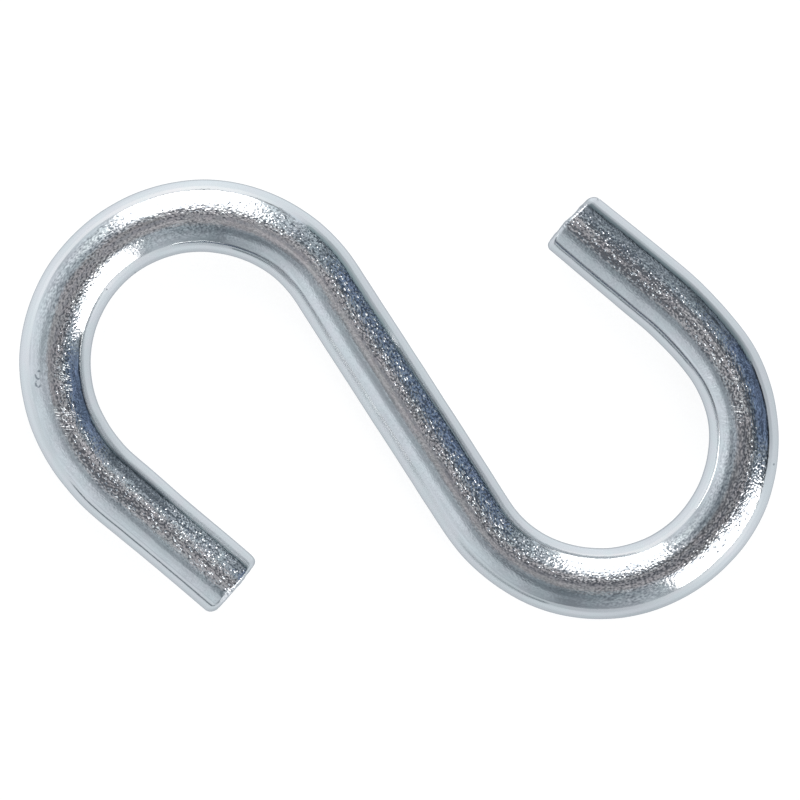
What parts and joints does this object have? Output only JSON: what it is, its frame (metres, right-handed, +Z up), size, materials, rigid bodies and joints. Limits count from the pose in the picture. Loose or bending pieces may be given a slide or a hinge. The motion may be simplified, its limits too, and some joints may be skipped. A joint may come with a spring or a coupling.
{
  "type": "s hook",
  "caption": "S-shaped hook bent from one length of round plated steel wire, with an open eye at each end facing opposite sides.",
  "frame": {"origin": "centre of the bounding box, on the surface that the hook lies on", "axes": "+X along the line through the centres of the two eyes, from the left eye to the right eye; +Z up, across the flat hook"},
  "size_m": [0.0508, 0.032, 0.0048],
  "materials": {
    "bright_zinc": "polished"
  },
  "bodies": {
    "root": {"hook": "bright_zinc"}
  },
  "joints": []
}
